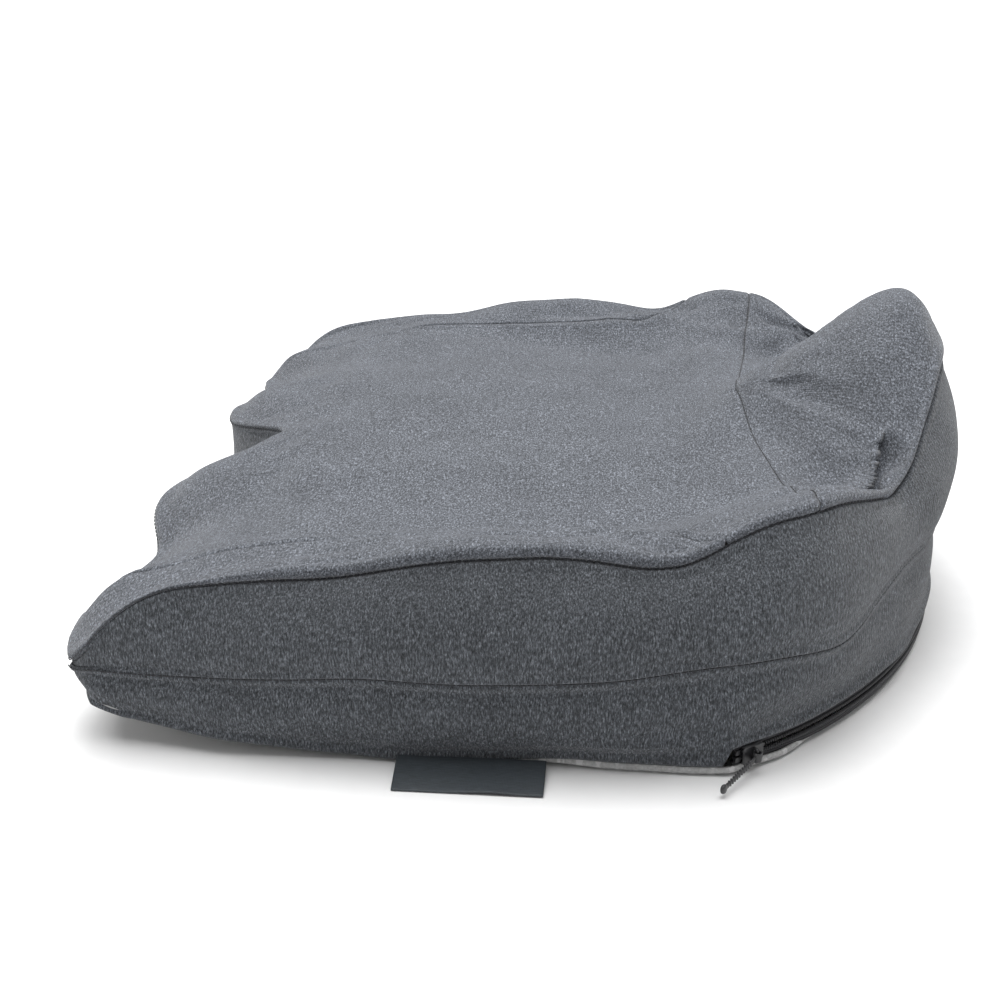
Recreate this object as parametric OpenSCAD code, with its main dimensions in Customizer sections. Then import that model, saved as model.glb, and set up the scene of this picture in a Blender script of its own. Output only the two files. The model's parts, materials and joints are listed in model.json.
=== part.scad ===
// Contoured foam seat cushion in a zipped knit cover.
// Origin: on the floor plane under the middle of the cushion. +Z is up, the sitter faces -Y,
// and +X is the sitter's left. The cushion is the same on both sides of the plane X = 0,
// apart from the label, the zip slider and the stop at each end of the zip.

/* [Outline] */
// Half of the width across the base
half_w = 218; // [180:1:262]
// Distance from the origin to the front edge
front_len = 221; // [184:1:266]
// Distance from the origin to the back of the base
rear_len = 191; // [170:1:230]
// Radius of the round back of the base, which the zip follows
rear_r = 260; // [225:1:320]
// How far the middle notch is cut back from the front edge
notch_depth = 54; // [20:1:70]
// How far the front edge is drawn in before each thigh
thigh_recess = 15; // [0:1:25]
// Distance of each thigh channel from the middle
thigh_x = 122; // [90:1:140]

/* [Seams] */
// Width of the rim strips along the sides
strip_w = 42; // [30:1:60]
// Distance from the back of the base to the back inner panel's seam, along the middle
back_panel_reach = 107; // [90:1:120]

/* [Heights] */
// Height of the seat surface at its middle
seat_z = 82; // [60:1:110]
// Height of the front tips of the side seams
tip_z = 34; // [28:1:52]
// Rise of the main seam from its front tip to the top of the front roll
roll_rise = 49; // [33:1:60]
// Rise of the main seam from the front roll to the hips
hip_rise = 12; // [0:1:20]
// Rise of the tailbone lobe above the seat
lobe_rise = 70; // [40:1:90]
// Depth of the bowl on each side of the lobe
bowl_depth = 7; // [0:1:10]
// Height of the lower seam at the sides
lower_seam_z = 42; // [32:1:50]
// How far the underside lifts off the floor along the front edge
front_lift = 19; // [0:1:22]

/* [Cover] */
// Thickness of the knit
knit_t = 2; // [1:0.1:3]
// Air left between the knit and the foam
foam_gap = 0.3; // [0.2:0.1:1]
// Height of the pale base fabric where it turns up at the edge
hem_h = 4.1; // [3:0.1:6]
// Gap between two panels along the bottom seam
seam_gap = 0.5; // [0.3:0.1:1]
// Radius of the sewing thread
thread_r = 0.5; // [0.3:0.1:0.8]

/* [Zip] */
// Diameter of each coil
coil_d = 2.2; // [1.6:0.1:3]
// Slit between the two coils, where the slider's blade runs
coil_slit = 1.2; // [1:0.1:2]
// Thickness of the zip tape
tape_t = 0.5; // [0.3:0.1:0.8]
// Width of the tape above the upper coil
tape_upper_w = 4.6; // [3:0.1:8]
// Width of the tape below the lower coil
tape_lower_w = 2.8; // [2:0.1:3]
// Length of the slider along the zip
slider_len = 11; // [8:0.5:16]
// Thickness of each slider plate
plate_t = 1.2; // [0.8:0.1:2]
// Air on each side of whatever moves
run_gap = 0.4; // [0.3:0.1:0.8]
// Length of the pull tab from its pivot
pull_len = 26; // [14:1:30]
// Turn of the pull tab from straight out, as it is stored
pull_turn = 75; // [0:1:80]

/* [Label] */
// Length of the label along the seam
label_len = 64; // [30:1:90]
// Distance that the label stands out
label_out = 21; // [12:1:30]
// Thickness of the folded label
label_t = 0.9; // [0.5:0.1:1.6]
// Place of the label's middle along Y
label_y = -38; // [-80:1:0]

/* [Hidden] */
$fn = 64;

knit_dark = [0.24, 0.26, 0.29];
knit_light = [0.36, 0.38, 0.43];
zip_black = [0.05, 0.05, 0.06];

// The surface is a grid: RAYS lines that run from the middle of the underside out, up the side
// and in over the top, and ROWS rings that cross them.
RAYS = 96;
step = 360 / RAYS;
rear_c = rear_len - rear_r;  // centre of the round back, on Y
back_seam_y = rear_len - back_panel_reach;       // that seam crosses the middle here
strip_x = half_w - strip_w;  // inner edge of the rim strips

ray_tip = -round(atan2(front_len, half_w) / step) * step;    // through the left front tip
ray_strip = ray_tip - step;  // where the left rim strip starts
ray_strip_end = 22.5;        // where it runs out against the main seam
ray_fan = 30;                // where the back inner panel starts
// The zip opening starts on the first ray that ends on the round back.
kink_y = sqrt(max(pow(rear_r, 2) - pow(half_w, 2), 0)) + rear_c;
ray_zip = ceil(atan2(kink_y, half_w) / step) * step;

function smooth(a, b, x) = let (t = min(max((x - a) / (b - a), 0), 1)) t * t * (3 - 2 * t);
function bell(x, w) = exp(-(x / w) * (x / w));
function ease_out(t) = let (u = 1 - min(max(t, 0), 1)) 1 - u * u;
function soft_min(a, b, k) = let (h = max(k - abs(a - b), 0) / k) min(a, b) - h * h * k / 4;
function mix(a, b, t) = a + (b - a) * t;
function unit(v) = v / norm(v);

// A ray's angle folded onto the left half: -90 at the notch, 90 at the back.
function fold(p) = let (q = ((p + 90) % 360 + 360) % 360) (q > 180 ? 360 - q : q) - 90;
// Angle past the front tip, along the side.
function past_tip(p) = fold(p) - ray_tip;
// 0 where the round back starts and 1 at its middle.
function rear_part(a) = min(max((a - 19) / 71, 0), 1);

// ---- outline of the base, as a radius on each ray ----
function side_r(p) = half_w / max(abs(cos(p)), 0.02);
function back_r(p) = sin(p) * rear_c + sqrt(pow(rear_r, 2) - pow(rear_c * cos(p), 2));
function front_y(p) = let (t = abs(cos(p)) / max(-sin(p), 0.001))
    front_len - notch_depth * bell(t, 0.19) - thigh_recess * bell(t - 0.57, 0.17);
function front_r(p) = sin(p) < 0 ? front_y(p) / max(-sin(p), 0.001) : 10000;
function outline(p, corner) =
    soft_min(soft_min(side_r(p), back_r(p), corner), front_r(p), 30);
function base_r(p) = outline(p, 0.01);
function body_r(p) = outline(p, 44) + 3 * bell(fold(p) - 19, 16) + 3 * bell(past_tip(p) + 3, 7);
function at(p, r, z) = [r * cos(p), r * sin(p), z];
function ray_y(p) = base_r(p) * sin(p);
function ray_x(p) = abs(base_r(p) * cos(p));

// ---- heights and offsets of the sewn rings ----
function lift(p) = let (f = ray_y(p) + front_len)
    front_lift * (0.66 * pow(min(max((149 - f) / 118, 0), 1), 1.3) + 0.34 * smooth(31, 6, f));
function foot_r(p) = base_r(p) - 5 * smooth(-front_len + 71, -front_len + 16, ray_y(p));

// Height of the front roll and of the ridge behind it, along the side.
function side_height(y) = tip_z + roll_rise * ease_out((y + front_len) / 70)
    + hip_rise * min(max((y + front_len - 61) / 150, 0), 1)
    - 5 * smooth(31, 71, y + front_len) * smooth(181, 111, y + front_len);
function main_z(p) =
    let (y = ray_y(p), x = ray_x(p), w = rear_part(fold(p)),
         side = side_height(y)
             - 4 * bell(y - back_seam_y + 46, 24) + 13 * smooth(-36, 14, y - back_seam_y)
             - 12 * smooth(0.17, 0.44, w) + (lobe_rise - 34) * smooth(0.42, 0.83, w),
         front = tip_z + 12 * smooth(-13, -68, x - half_w) + 11 * smooth(120, 70, x)
             + 13 * smooth(60, 0, x))
    mix(front, side, smooth(-4, 2, past_tip(p)));
function main_r(p) = body_r(p) - 10 * smooth(1, 15, past_tip(p))
    + 3 * smooth(0.58, 0.93, rear_part(fold(p)));

function lower_z(p) =
    let (y = ray_y(p), w = rear_part(fold(p)),
         side = lower_seam_z - 6 * smooth(160, 40, y + front_len)
             - 4 * smooth(14, 2, y + front_len) + 10 * smooth(-124, 6, y - back_seam_y)
             - 5 * smooth(0.04, 0.21, w) + 12 * smooth(0.18, 0.44, w))
    mix(mix(lift(p) + hem_h + 4.5, main_z(p), 0.45), side, smooth(-13, 0, past_tip(p)));
function lower_r(p) = let (w = rear_part(fold(p)))
    body_r(p) + 5 * smooth(10, 20, past_tip(p)) * (1 - smooth(0, 0.37, w))
        - 2 * smooth(0.15, 0.43, w);
function belly(p) =
    5 * smooth(1, 15, past_tip(p)) + 4 * smooth(0.36, 0.79, rear_part(fold(p)));

// ---- the top ----
function nose(x, y) = let (s = y - back_seam_y) lobe_rise * smooth(-34, 94, s)
    * exp(-pow(abs(x) / (32 + 54 * smooth(4, 66, s)), 2.3));
function seat(x, y) = let (s = y - back_seam_y, f = y + front_len)
    seat_z - 5 * bell(s + 69, 60) + 9 * smooth(-44, 4, s)
    - 9 * bell(abs(x) - thigh_x, 34) * smooth(181, 31, f)
    - 8 * bell(x, 45) * smooth(111, 31, f)
    - 14 * smooth(-128, -48, abs(x) - half_w) * smooth(91, 6, f)
    - bowl_depth * bell(abs(x) - 108, 26) * bell(s - 36, 22)
    + nose(x, y);
function crest(p) = let (w = rear_part(fold(p)))
    main_z(p) + 8 * smooth(3, 17, past_tip(p)) + 17 * smooth(0.61, 0.97, w);
function top_point(p, v) =
    let (a = past_tip(p), w = rear_part(fold(p)), r = main_r(p),
         x2 = r * cos(p), y2 = r * sin(p),
         x = v * x2, y = mix(back_seam_y, y2, v),
         d = (1 - v) * norm([x2, y2 - back_seam_y]),
         side = smooth(1, 11, a) * (1 - smooth(0.13, 0.32, w)),
         rear = smooth(0.44, 0.79, w), front = 1 - smooth(-5, 1, a),
         corner = max(1 - front - side - rear, 0) * (a < 45 ? 60 : 36),
         reach = (46 + 16 * bell(a + 7, 10)) * front + 78 * side + 30 * rear + corner,
         u = min(d / reach, 1),
         roll = (side_height(y) - side_height(y2)) * smooth(-8, -4, a) * smooth(23, 9, a),
         rim = main_z(p) + roll
             + (crest(p) - main_z(p)) * sqrt(1 - pow(1 - min(d / 18, 1), 2)))
    [x, y, mix(rim, seat(x, y), mix(smooth(0, 1, u), ease_out(u), front))];
// The ring that the rim strips' inner seams follow, as a share of the way out. It keeps a land
// of 16 mm inside the front seam, and of 7 mm inside the main seam where the strips run out.
function strip_v(p) =
    let (r = main_r(p), x2 = abs(r * cos(p)), y2 = r * sin(p),
         land = 16 - 9 * smooth(10, 30, past_tip(p)))
    min(1 - land / norm([x2, y2 - back_seam_y]),
        (strip_x + 34 * smooth(-64, 4, y2 - back_seam_y)) / max(x2, 1));

// ---- the rings of the outside, from the middle of the underside to the middle of the top ----
inner_shares = [0.94, 0.86, 0.74, 0.6, 0.45, 0.3, 0.16];
row_hem = 5;                 // top of the pale base fabric
row_band = 6;                // bottom edge of the lower band
row_lower = 9;               // lower seam
row_main = 13;               // main seam
row_strip = 15;              // inner seam of the rim strips
ROWS = row_strip + len(inner_shares) + 2;
flange_h = 1.2;              // height of the slider's edges, above and below the coils
slider_h = coil_slit + 2 * coil_d + 2 * (run_gap + flange_h);
zip_z = hem_h + run_gap + slider_h / 2;
band_z = zip_z + slider_h / 2 + run_gap;

function zipped(p) = fold(p) > ray_zip - 0.1;
function band_start(p) = zipped(p) ? band_z : lift(p) + hem_h + seam_gap;
function band_room(p) = lower_z(p) - band_start(p) - 4;
function ring_point(p, k) =
    k <= 2 ? at(p, foot_r(p) * [0.06, 0.5, 0.85][k], lift(p) * [0, 0, 0.4][k])
    : k == 3 ? at(p, foot_r(p) - 6, lift(p))
    : k == 4 ? at(p, foot_r(p) - 1.2, lift(p) + 1.2)
    : k == row_hem ? at(p, foot_r(p), lift(p) + hem_h)
    : k == row_band ? at(p, foot_r(p), band_start(p))
    : k == 7 ? at(p, foot_r(p), band_start(p) + 4)
    : k == 8 ? at(p, mix(foot_r(p), lower_r(p), 0.6) + 2 * min(band_room(p) / 12, 1),
        band_start(p) + 4 + band_room(p) / 2)
    : k <= row_main ? let (t = (k - row_lower) / (row_main - row_lower))
        at(p, mix(lower_r(p), main_r(p), t * t) + belly(p) * pow(sin(180 * t), 0.8),
           mix(lower_z(p), main_z(p), t))
    : k == row_main + 1 ? top_point(p, mix(1, strip_v(p), 0.4))
    : k == row_strip ? top_point(p, strip_v(p))
    : k < ROWS - 1 ? top_point(p, strip_v(p) * inner_shares[k - row_strip - 1])
    : top_point(p, 0.05);

grid = [for (k = [0 : ROWS - 1]) [for (i = [0 : RAYS - 1]) ring_point(i * step, k)]];
function g(i, k) = grid[k][(i + RAYS) % RAYS];
// Normals are level along the bottom seam, so both of its edges are cut straight in.
function normal(i, k) = unit(cross(g(i + 1, k) - g(i - 1, k),
    k == row_hem || k == row_band ? [0, 0, 1]
    : g(i, min(k + 1, ROWS - 1)) - g(i, max(k - 1, 0))));
normals = [for (k = [0 : ROWS - 1]) [for (i = [0 : RAYS - 1]) normal(i, k)]];
function n(i, k) = normals[k][(i + RAYS) % RAYS];

top_middle = [0, back_seam_y, seat(0, back_seam_y)];

// Every grid point moved inwards by depth, and more where the foam makes room for the slider.
function foam_room(i, k) = k >= 3 && k <= 7 && zipped(i * step) ? zip_room : 0;
function sunk(depth, room) = [for (k = [0 : ROWS - 1]) for (i = [0 : RAYS - 1])
    let (r = room ? foam_room(i, k) : 0) g(i, k) - n(i, k) * depth
        - [cos(i * step), sin(i * step), 0] * r];
function middles(depth) = [top_middle - [0, 0, depth], [0, 0, depth]];

// Faces of the cells that take(i, k) picks. Cell k lies between rings k and k + 1; the cells
// of the last ring close the top, and those of ring -1 close the underside.
function picked(take, i, k) = k >= -1 && k < ROWS && take((i + RAYS) % RAYS, k);
function o(i, k) = k * RAYS + (i + RAYS) % RAYS;
function quad(a, b, c, d) = [[a, b, c], [a, c, d]];
// The cell's diagonal is mirrored on the right half, so both halves have the same facets.
function cell(i, a, b, c, d) = between(i, 90, 270) ? quad(b, c, d, a) : quad(a, b, c, d);
function outer_faces(take, s, flip) = [for (k = [-1 : ROWS - 1]) for (i = [0 : RAYS - 1])
    if (picked(take, i, k))
        for (f = k == -1 ? [[s + ROWS * RAYS + 1, s + o(i, 0), s + o(i + 1, 0)]]
                : k == ROWS - 1 ? [[s + ROWS * RAYS, s + o(i + 1, k), s + o(i, k)]]
                : cell(i, s + o(i, k), s + o(i, k + 1), s + o(i + 1, k + 1), s + o(i + 1, k)))
            flip ? [f[2], f[1], f[0]] : f];
function wall_faces(take, s) = [for (k = [-1 : ROWS - 1]) for (i = [0 : RAYS - 1])
    if (picked(take, i, k)) for (f = concat(
        k < 0 || k == ROWS - 1 || picked(take, i - 1, k) ? []
            : quad(o(i, k), s + o(i, k), s + o(i, k + 1), o(i, k + 1)),
        k < 0 || k == ROWS - 1 || picked(take, i + 1, k) ? []
            : quad(s + o(i + 1, k + 1), s + o(i + 1, k), o(i + 1, k), o(i + 1, k + 1)),
        k < 0 || picked(take, i, k - 1) ? []
            : quad(o(i + 1, k), s + o(i + 1, k), s + o(i, k), o(i, k)),
        k == ROWS - 1 || picked(take, i, k + 1) ? []
            : quad(s + o(i, k + 1), s + o(i + 1, k + 1), o(i + 1, k + 1), o(i, k + 1)))) f];

// A sheet of knit over the picked cells. Two sheets that meet share the wall between them, and
// cut it along the same diagonals.
module sheet(take) {
    s = ROWS * RAYS + 2;
    polyhedron(concat(sunk(0, false), middles(0), sunk(knit_t, false), middles(knit_t)),
        concat(outer_faces(take, 0, false), outer_faces(take, s, true), wall_faces(take, s)));
}
// True where ray cell i lies between two ray angles, counted anticlockwise.
function between(i, p0, p1) = let (q = ((i + 0.5) * step - p0 + 720) % 360) q < p1 - p0;

// A thread laid along grid points, each given as [ray, ring].
module thread(path, closed) {
    c = len(path);
    lay = [for (q = path) g(q[0], q[1]) + n(q[0], q[1]) * (thread_r + 0.1)];
    function along(j) = unit(lay[closed ? (j + 1) % c : min(j + 1, c - 1)]
        - lay[closed ? (j + c - 1) % c : max(j - 1, 0)]);
    points = [for (j = [0 : c - 1]) let (up = n(path[j][0], path[j][1]), side = cross(along(j), up))
        for (d = [up, side, -up, -side]) lay[j] + d * thread_r];
    links = closed ? c : c - 1;
    polyhedron(points, concat(
        [for (j = [0 : links - 1]) for (m = [0 : 3])
            for (f = quad(j * 4 + m, j * 4 + (m + 1) % 4,
                ((j + 1) % c) * 4 + (m + 1) % 4, ((j + 1) % c) * 4 + m)) f],
        closed ? [] : quad(3, 2, 1, 0),
        closed ? [] : [for (f = quad(0, 1, 2, 3)) [for (v = f) v + (c - 1) * 4]]));
}
function ray(p) = round(p / step);

// ---- foam and cover ----
module foam_core() {
    color([0.93, 0.9, 0.8])
    polyhedron(concat(sunk(knit_t + foam_gap, true), middles(knit_t + foam_gap)),
        outer_faces(function(i, k) true, 0, false));
}
module seat_panel() {
    color(knit_light) sheet(function(i, k) k == ROWS - 1
        || k >= row_strip && !between(i, ray_fan, 180 - ray_fan)
        || k >= row_main && (between(i, 180 - ray_strip, 360 + ray_strip)
            || between(i, ray_strip_end, ray_fan)
            || between(i, 180 - ray_fan, 180 - ray_strip_end)));
}
module rim_strip(p0, p1) {
    color(knit_light)
    sheet(function(i, k) k >= row_main && k < row_strip && between(i, p0, p1));
}
module left_rim_strip() { rim_strip(ray_strip, ray_strip_end); }
module right_rim_strip() { rim_strip(180 - ray_strip_end, 180 - ray_strip); }
module back_inner_panel() {
    color(knit_light) sheet(function(i, k) k >= row_main && k < ROWS - 1
        && between(i, ray_fan, 180 - ray_fan));
}
module side_band(p0, p1) {
    color(knit_dark)
    sheet(function(i, k) k >= row_lower && k < row_main && between(i, p0, p1));
}
module left_side_band() { side_band(ray_tip, 90); }
module right_side_band() { side_band(90, 180 - ray_tip); }
module lower_band() {
    color(knit_dark) sheet(function(i, k) k >= row_band && k < row_lower
        && between(i, ray_tip, 180 - ray_tip));
}
module front_band() {
    color(knit_dark) sheet(function(i, k) k >= row_band && k < row_main
        && between(i, 180 - ray_tip, 360 + ray_tip));
}
module bottom_panel() {
    color([0.62, 0.62, 0.62]) sheet(function(i, k) k < row_hem);
}
module main_seam_thread() {
    color(zip_black) thread([for (i = [0 : RAYS - 1]) [i, row_main]], true);
}
module lower_seam_thread() {
    color(zip_black)
    thread([for (i = [ray(ray_tip) + 1 : ray(180 - ray_tip) - 1]) [i, row_lower]], false);
}
module back_seam_thread() {
    color(zip_black) thread(concat(
        [for (k = [row_main + 1 : ROWS - 2]) [ray(ray_fan), k]],
        [for (p = [ray_fan : step : 180 - ray_fan]) [ray(p), ROWS - 1]],
        [for (k = [ROWS - 2 : -1 : row_main + 1]) [ray(180 - ray_fan), k]]), false);
}
module left_strip_thread() {
    color(zip_black)
    thread([for (i = [ray(ray_strip) : ray(ray_strip_end)]) [i, row_strip]], false);
}
module right_strip_thread() {
    color(zip_black)
    thread([for (i = [ray(180 - ray_strip_end) : ray(180 - ray_strip)]) [i, row_strip]], false);
}

// ---- zip: everything here is turned about the centre of the round back ----
tape_r = rear_r - knit_t - tape_t / 2 - 0.25;    // middle of the tape's thickness
plate_gap = coil_d / 2 + run_gap;                // from the tape's middle to each plate
zip_room = tape_t / 2 + plate_gap + plate_t + run_gap;
zip_start = asin((ray_y(ray_zip) - rear_c) / rear_r);
coil_z = (coil_slit + coil_d) / 2;               // from the zip's middle to a coil's middle
stop_len = 2.4;
stop_turn = stop_len / rear_r * 180 / PI;
slider_turn = slider_len / rear_r * 180 / PI;
zip_first = zip_start + 0.15;                    // where the stops at the closed end begin
coil_start = zip_first + stop_turn + 0.05;
slider_at = zip_first + stop_turn + slider_turn / 2 + 0.1;

// A strip of the zip from turn t0 to turn t1, with the cross-section given as children
// in [radius, height].
module sweep(t0, t1) {
    translate([0, rear_c, 0]) rotate([0, 0, t0]) rotate_extrude(angle = t1 - t0, $fn = 180)
        children();
}
module block(r0, r1, z0, z1) { translate([r0, z0]) square([r1 - r0, z1 - z0]); }

module zip_tape_upper() {
    z0 = zip_z + coil_slit / 2 + coil_d + 0.05;
    color(zip_black) sweep(zip_start + 0.05, 180 - zip_start - 0.05)
        block(tape_r - tape_t / 2, tape_r + tape_t / 2, z0, z0 + tape_upper_w);
}
module zip_tape_lower() {
    z1 = zip_z - coil_slit / 2 - coil_d - 0.05;
    color(zip_black) sweep(zip_start + 0.05, 180 - zip_start - 0.05)
        block(tape_r - tape_t / 2, tape_r + tape_t / 2, z1 - tape_lower_w, z1);
}
module coil(side) {
    color(zip_black) sweep(coil_start, 180 - coil_start)
        translate([tape_r, zip_z + side * coil_z]) circle(d = coil_d);
}
module zip_coil_upper() { coil(1); }
module zip_coil_lower() { coil(-1); }
module zip_top_stops() {
    color([0.1, 0.1, 0.11]) for (side = [-1, 1])
        sweep(zip_first, zip_first + stop_turn)
        translate([tape_r, zip_z + side * coil_z]) square([coil_d, coil_d], center = true);
}
module zip_bottom_stop() {
    color([0.1, 0.1, 0.11]) sweep(180 - zip_first - stop_turn, 180 - zip_first)
        block(tape_r - coil_d / 2, tape_r + coil_d / 2,
            zip_z - coil_slit / 2 - coil_d, zip_z + coil_slit / 2 + coil_d);
}
bar_r = 0.7;                                     // radius of the bar that the pull turns on
eye_r = bar_r + run_gap + 0.9;                   // outer radius of the pull's eye
bar_at = tape_r + plate_gap + plate_t + run_gap + eye_r;
pull_w = 4.4;
pull_t = 1.3;
module slider_body() {
    half = slider_turn / 2;
    tape_gap = tape_t / 2 + run_gap;
    z_edge = slider_h / 2;
    color([0.09, 0.09, 0.1]) {
        for (s = [-1, 1]) sweep(slider_at - half, slider_at + half) union() {
            block(min(tape_r + s * plate_gap, tape_r + s * (plate_gap + plate_t)),
                max(tape_r + s * plate_gap, tape_r + s * (plate_gap + plate_t)),
                zip_z - z_edge, zip_z + z_edge);
            for (m = [-1, 1])
                block(min(tape_r + s * tape_gap, tape_r + s * (plate_gap + 0.1)),
                    max(tape_r + s * tape_gap, tape_r + s * (plate_gap + 0.1)),
                    zip_z + (m > 0 ? z_edge - flange_h : -z_edge),
                    zip_z + (m > 0 ? z_edge : flange_h - z_edge));
        }
        sweep(slider_at - half, slider_at - half / 3)
            block(tape_r - plate_gap - 0.1, tape_r + plate_gap + 0.1, zip_z - 0.2, zip_z + 0.2);
    }
}
// Frame at the slider: X points straight out, Y along the zip towards the back.
module at_slider(r) {
    translate([0, rear_c, zip_z]) rotate([0, 0, slider_at]) translate([r, 0, 0]) children();
}
module slider_bridge() {
    leg = 1;
    plate_out = tape_r + plate_gap + plate_t;
    color([0.09, 0.09, 0.1]) at_slider(0) {
        translate([bar_at, 0, -pull_w / 2 - run_gap - leg / 2])
            cylinder(r = bar_r, h = pull_w + 2 * run_gap + leg);
        for (s = [-1, 1]) translate([plate_out, -1.1, s * (pull_w / 2 + run_gap + leg / 2) - leg / 2])
            cube([bar_at + bar_r - plate_out, 2.2, leg]);
    }
}
module pull_tab() {
    droop = 12;
    color([0.1, 0.1, 0.11]) at_slider(bar_at) rotate([0, 0, -pull_turn]) difference() {
        union() {
            cylinder(r = eye_r, h = pull_w, center = true);
            rotate([0, droop, 0]) {
                translate([eye_r - 0.6, -pull_t / 2, -1.2]) cube([pull_len - eye_r, pull_t, 2.4]);
                for (x = [5 : 1.6 : pull_len - 6])
                    translate([x, -pull_t / 2 - 0.25, -1.5]) cube([0.8, pull_t + 0.5, 3]);
                translate([pull_len - 2, 0, 0]) rotate([90, 0, 0])
                    cylinder(r = 2, h = pull_t + 0.6, center = true);
            }
        }
        cylinder(r = bar_r + run_gap, h = 3 * pull_w, center = true);
    }
}

// ---- label: its root is rounded, and it turns about the root's middle ----
label_gap = label_t / 2 + 0.1;
label_root_z = hem_h + seam_gap / 2;
label_drop = asin((label_root_z - label_t / 2 - 0.4) / label_out);
module label() {
    color([0.12, 0.15, 0.18])
        translate([half_w + label_gap, label_y - label_len / 2, label_root_z])
        rotate([0, label_drop, 0]) {
            translate([0, 0, -label_t / 2]) cube([label_out, label_len, label_t]);
            rotate([-90, 0, 0]) cylinder(d = label_t, h = label_len);
        }
}

echo(pull_pivot = [bar_at * cos(slider_at), rear_c + bar_at * sin(slider_at), zip_z],
    travel = 180 - 2 * (zip_first + stop_turn) - slider_turn - 0.2, ray_zip = ray_zip,
    label_root = [half_w + label_gap, label_y, label_root_z]);

foam_core();
seat_panel();
left_rim_strip();
right_rim_strip();
back_inner_panel();
left_side_band();
right_side_band();
lower_band();
front_band();
bottom_panel();
main_seam_thread();
lower_seam_thread();
back_seam_thread();
left_strip_thread();
right_strip_thread();
zip_tape_upper();
zip_tape_lower();
zip_coil_upper();
zip_coil_lower();
zip_top_stops();
zip_bottom_stop();
slider_body();
slider_bridge();
pull_tab();
label();
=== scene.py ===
# %% [markdown]
# # A contoured seat cushion in a zipped knit cover
# This cushion is a block of moulded foam inside a cover that is sewn from knit panels and closed
# by a coil zip. A frame from the design model says where everything is. We keep that frame and
# build the looks around it: soft panels, sunk seams, stitches, a zip with real coils, a blank
# label, and a procedural material for each finish.

# %% Frame
import json
import bpy
import numpy as np
from mathutils import Matrix, Vector


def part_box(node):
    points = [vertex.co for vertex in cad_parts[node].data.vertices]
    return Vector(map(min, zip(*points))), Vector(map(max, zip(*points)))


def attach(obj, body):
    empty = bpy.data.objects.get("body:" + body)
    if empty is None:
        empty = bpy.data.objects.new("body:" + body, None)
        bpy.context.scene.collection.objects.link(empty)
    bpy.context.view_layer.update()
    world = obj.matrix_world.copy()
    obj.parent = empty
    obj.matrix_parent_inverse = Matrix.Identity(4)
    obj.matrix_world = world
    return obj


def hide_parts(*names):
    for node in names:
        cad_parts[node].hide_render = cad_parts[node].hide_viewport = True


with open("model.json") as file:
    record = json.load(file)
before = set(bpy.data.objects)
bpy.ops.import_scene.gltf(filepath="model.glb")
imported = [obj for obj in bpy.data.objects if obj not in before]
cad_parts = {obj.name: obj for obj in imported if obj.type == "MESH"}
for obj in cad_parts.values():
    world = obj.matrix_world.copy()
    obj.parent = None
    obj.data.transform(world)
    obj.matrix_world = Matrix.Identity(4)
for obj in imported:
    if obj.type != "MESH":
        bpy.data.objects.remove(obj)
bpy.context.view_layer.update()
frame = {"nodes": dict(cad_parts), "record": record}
rng = np.random.default_rng(7)

# %% [markdown]
# The sizes. Lengths are worked out in millimetres, because that is how a cushion is drawn, and
# each mesh is scaled to metres when it is made. The sizes that the frame can tell are read from it.

# %% Sizes
MM = 0.001


def frame_box(node):
    """The lowest and highest corner of a frame node, in millimetres."""
    low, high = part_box(node)
    return np.array(low) / MM, np.array(high) / MM


base_high = frame_box("bottom_panel")[1]
half_w = base_high[0]                  # half of the width across the base
rear_len = base_high[1]                # from the middle to the back of the base
front_len = 221.0                      # from the middle to the front edge
rear_r = 260.0                         # radius of the round back
rear_c = rear_len - rear_r             # its centre, on Y
hem_h = 4.1                            # height of the pale base fabric at the edge
seat_z, tip_z = 82.0, 34.0             # seat height, and height of the front tips
bowl_depth = 7.0                       # depth of the bowl on each side of the lobe
roll_rise, hip_rise, lobe_rise = 49.0, 12.0, 70.0
lower_seam_z, front_lift = 42.0, 19.0
back_seam_y, strip_x = 84.0, 176.0     # back panel's seam, and inner edge of the rim strips
knit_t = 1.3                           # thickness of the knit
print("half width %.1f, back at %.1f, round back centred on y %.1f" % (half_w, rear_len, rear_c))

# %% [markdown]
# Small functions that shape everything else: a smooth step, a bell, and a soft minimum that
# rounds the corner where two outlines meet.

# %% Shaping functions


def step(a, b, x):
    """0 at a, 1 at b, with a smooth S between them; it also runs downwards when a is above b."""
    t = np.clip((x - a) / (b - a), 0, 1)
    return t * t * (3 - 2 * t)


def bell(x, w):
    """A bell of height 1: e to the power of minus (x / w) squared."""
    return np.exp(-((x / w) ** 2))


def ease_out(t):
    """Rises from 0 to 1 along a parabola that is level at 1."""
    return 1 - (1 - np.clip(t, 0, 1)) ** 2


def soft_min(a, b, k):
    """The smaller of a and b, with the corner where they cross rounded over a width k."""
    h = np.maximum(k - np.abs(a - b), 0) / k
    return np.minimum(a, b) - h * h * k / 4


def mix(a, b, t):
    return a + (b - a) * t


def bent(value, power):
    """A sine or cosine raised to a low power, sign kept, which makes a circle squarer."""
    return np.sign(value) * np.abs(value) ** power


# %% [markdown]
# The outline. Seen from above, each ray at angle p leaves the middle and ends on the nearest of
# three edges: the straight side, the round back, or the scalloped front with its notch. A
# superellipse would also be round at the corners, but it couldn't hold the exact circle that the
# zip follows, so each edge has its own formula.

# %% Outline


def cos(p):
    return np.cos(np.radians(p))


def sin(p):
    return np.sin(np.radians(p))


def fold(p):
    """The ray's angle on one half: -90 at the notch, 0 at the side and 90 at the back."""
    q = (p + 90) % 360
    return np.where(q > 180, 360 - q, q) - 90


def rear_part(p):
    """0 where the round back starts and 1 in its middle."""
    return np.clip((fold(p) - 19) / 71, 0, 1)


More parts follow.
